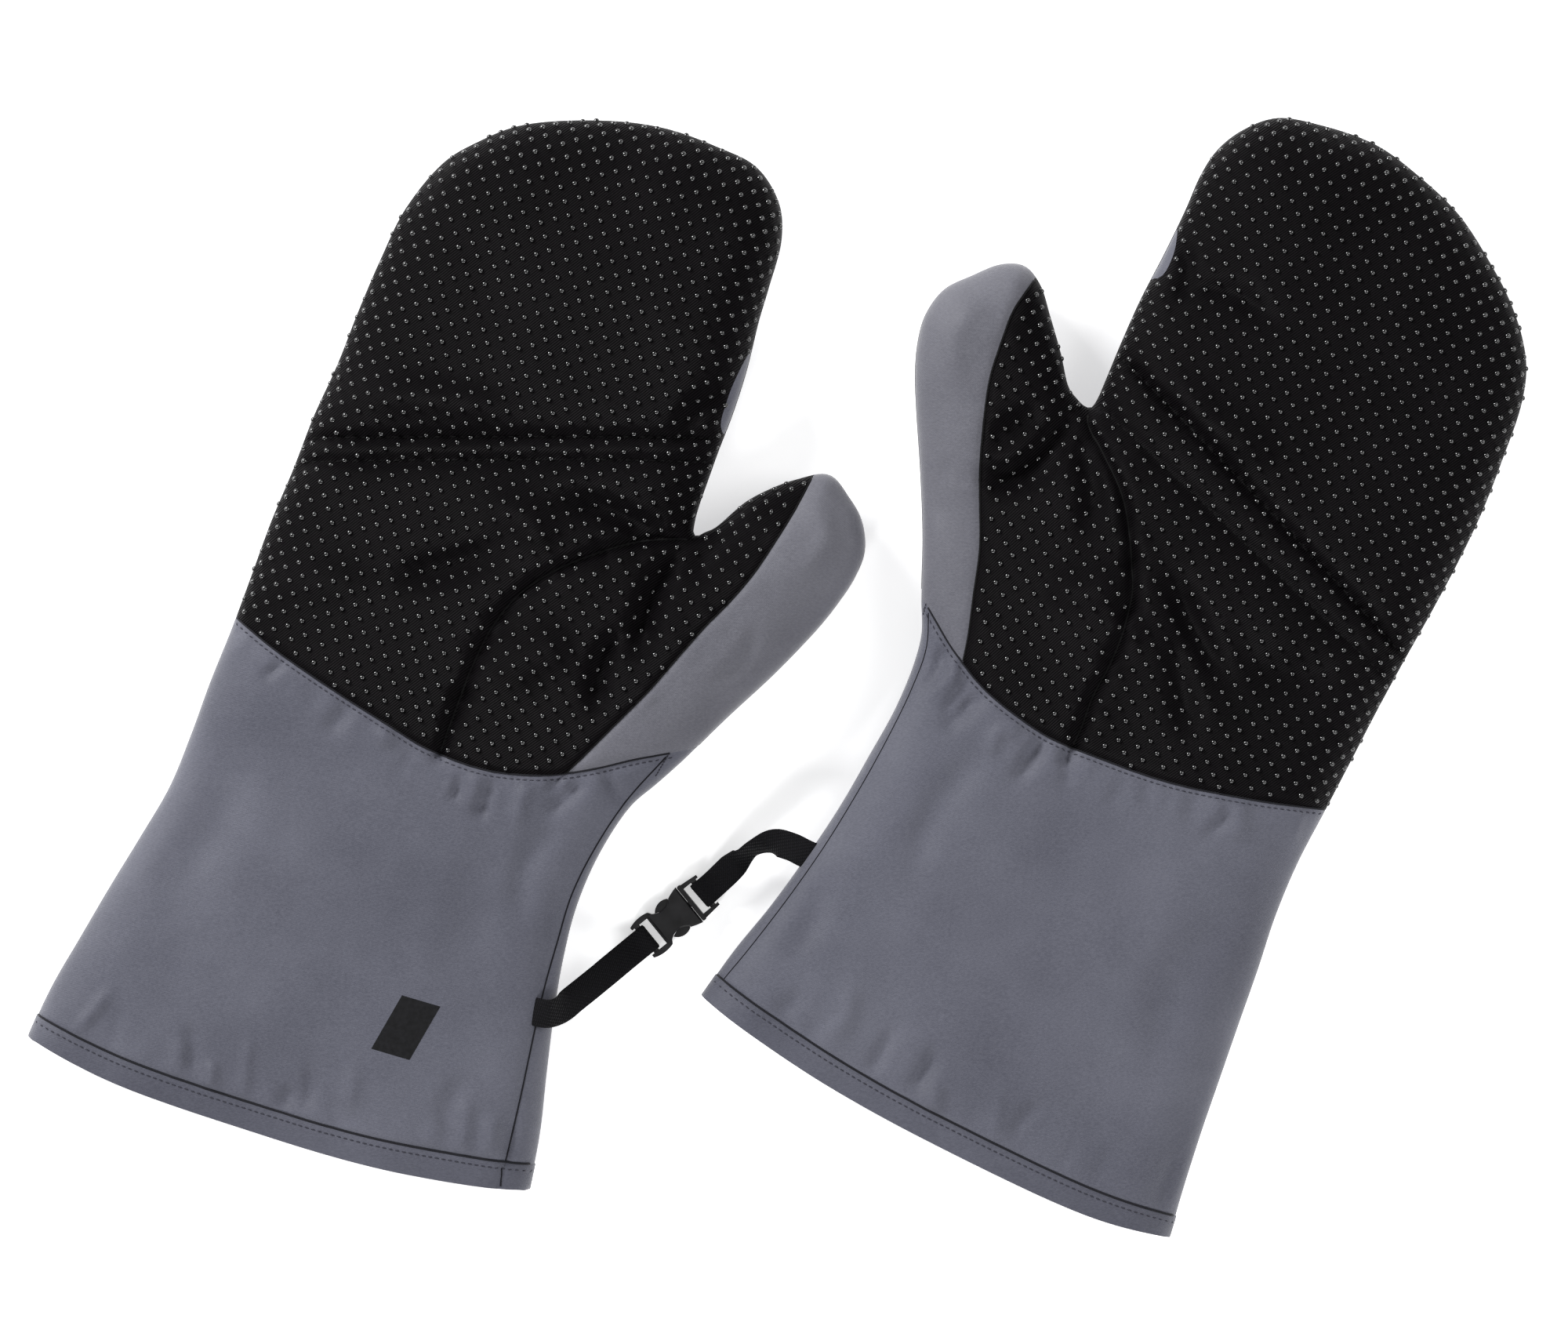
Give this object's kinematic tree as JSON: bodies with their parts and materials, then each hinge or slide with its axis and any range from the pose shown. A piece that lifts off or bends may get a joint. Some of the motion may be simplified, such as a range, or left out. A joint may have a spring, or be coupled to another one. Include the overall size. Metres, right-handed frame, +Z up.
{
  "type": "padded gauntlet mitten pair",
  "caption": "Pair of long padded gauntlet mittens with dotted grip palms, lying palm up, joined at the cuffs by webbing and a side-release buckle.",
  "frame": {"origin": "middle of the pair's footprint on the table it lies on", "axes": "+X to the right across the pair, +Y towards the fingertips, +Z up out of the palms"},
  "size_m": [0.5288, 0.4, 0.036],
  "materials": {
    "shell_cloth": "matt, slightly sheened tight weave",
    "hem_binding": "folded band of the shell cloth",
    "palm_cloth": "matt twill",
    "grip_dots": "glossy moulded domes",
    "thread": "twisted sewing thread",
    "padding": "needled felt",
    "hand_lining": "brushed knit",
    "cuff_lining": "plain taffeta",
    "webbing": "ribbed narrow weave",
    "buckle_plastic": "fine-textured moulded acetal"
  },
  "bodies": {
    "right_mitten": {"right_hem_band": "hem_binding", "right_cuff_front_panel": "shell_cloth", "right_cuff_back_panel": "shell_cloth", "right_cuff_lining": "cuff_lining", "right_palm_panel": "palm_cloth", "right_thumb_gusset_panel": "palm_cloth", "right_thumb_side_panel": "shell_cloth", "right_hand_back_panel": "shell_cloth", "right_hand_padding": "padding", "right_hand_lining": "hand_lining", "right_strap_tab": "webbing"},
    "right_fingers": {"right_finger_palm_panel": "palm_cloth", "right_finger_back_panel": "shell_cloth", "right_finger_padding": "padding", "right_finger_lining": "hand_lining"},
    "right_thumb": {"right_thumb_palm_panel": "palm_cloth", "right_thumb_tip_side_panel": "shell_cloth", "right_thumb_back_panel": "shell_cloth", "right_thumb_padding": "padding", "right_thumb_lining": "hand_lining"},
    "right_strap": {"right_strap": "webbing"},
    "left_mitten": {"left_hem_band": "hem_binding", "left_cuff_front_panel": "shell_cloth", "left_cuff_back_panel": "shell_cloth", "left_cuff_lining": "cuff_lining", "left_palm_panel": "palm_cloth", "left_thumb_gusset_panel": "palm_cloth", "left_thumb_side_panel": "shell_cloth", "left_hand_back_panel": "shell_cloth", "left_hand_padding": "padding", "left_hand_lining": "hand_lining", "left_strap_tab": "webbing"},
    "left_fingers": {"left_finger_palm_panel": "palm_cloth", "left_finger_back_panel": "shell_cloth", "left_finger_padding": "padding", "left_finger_lining": "hand_lining"},
    "left_thumb": {"left_thumb_palm_panel": "palm_cloth", "left_thumb_tip_side_panel": "shell_cloth", "left_thumb_back_panel": "shell_cloth", "left_thumb_padding": "padding", "left_thumb_lining": "hand_lining"},
    "left_strap": {"left_strap": "webbing"},
    "socket": {"buckle_socket": "buckle_plastic"},
    "plug": {"buckle_plug": "buckle_plastic"},
    "prong_front": {"latch_prong_front": "buckle_plastic"},
    "prong_rear": {"latch_prong_rear": "buckle_plastic"}
  },
  "joints": [
    {"name": "right_fingers_bend", "type": "hinge", "parent": "right_mitten", "child": "right_fingers", "pos_m": [-0.02363, 0.08226, 0.018], "axis": [0.9999, -0.0105, 0], "range_deg": [0, 45], "stiffness_Nm_per_rad": 0.15},
    {"name": "right_thumb_bend", "type": "hinge", "parent": "right_mitten", "child": "right_thumb", "pos_m": [-0.03039, 0.0561, 0.018], "axis": [0.6347, -0.7727, 0], "range_deg": [0, 45], "stiffness_Nm_per_rad": 0.15},
    {"name": "right_strap_fold", "type": "hinge", "parent": "right_mitten", "child": "right_strap", "pos_m": [-0.07403, -0.11435, 0.018], "axis": [0.6293, -0.7771, 0], "range_deg": [-15, 35]},
    {"name": "socket_pivot", "type": "hinge", "parent": "right_strap", "child": "socket", "pos_m": [-0.04994, -0.09484, 0.003], "axis": [0.6293, -0.7771, 0], "range_deg": [-30, 40]},
    {"name": "buckle_release", "type": "slide", "parent": "socket", "child": "plug", "axis": [0.7771, 0.6293, 0], "range_m": [0, 0.04], "deforming": ["latch_prong_front", "latch_prong_rear"]},
    {"name": "prong_front_squeeze", "type": "hinge", "parent": "plug", "child": "prong_front", "pos_m": [-0.03808, -0.07945, 0.003], "axis": [0, 0, 1], "range_deg": [0, 10], "stiffness_Nm_per_rad": 0.2},
    {"name": "prong_rear_squeeze", "type": "hinge", "parent": "plug", "child": "prong_rear", "pos_m": [-0.03242, -0.08645, 0.003], "axis": [0, 0, -1], "range_deg": [0, 10], "stiffness_Nm_per_rad": 0.2},
    {"name": "plug_pivot", "type": "hinge", "parent": "plug", "child": "left_strap", "pos_m": [-0.02981, -0.07854, 0.003], "axis": [0.6293, -0.7771, 0], "range_deg": [-40, 30]},
    {"name": "left_strap_fold", "type": "hinge", "parent": "left_strap", "child": "left_mitten", "pos_m": [0.00432, -0.06066, 0.018], "axis": [-0.4679, -0.8838, 0], "range_deg": [-15, 35]},
    {"name": "left_fingers_bend", "type": "hinge", "parent": "left_mitten", "child": "left_fingers", "pos_m": [0.11984, 0.1184, 0.018], "axis": [0.7206, -0.6934, 0], "range_deg": [0, 45], "stiffness_Nm_per_rad": 0.15},
    {"name": "left_thumb_bend", "type": "hinge", "parent": "left_mitten", "child": "left_thumb", "pos_m": [0.1072, 0.09454, 0.018], "axis": [0.9943, 0.1063, 0], "range_deg": [0, 45], "stiffness_Nm_per_rad": 0.15}
  ]
}
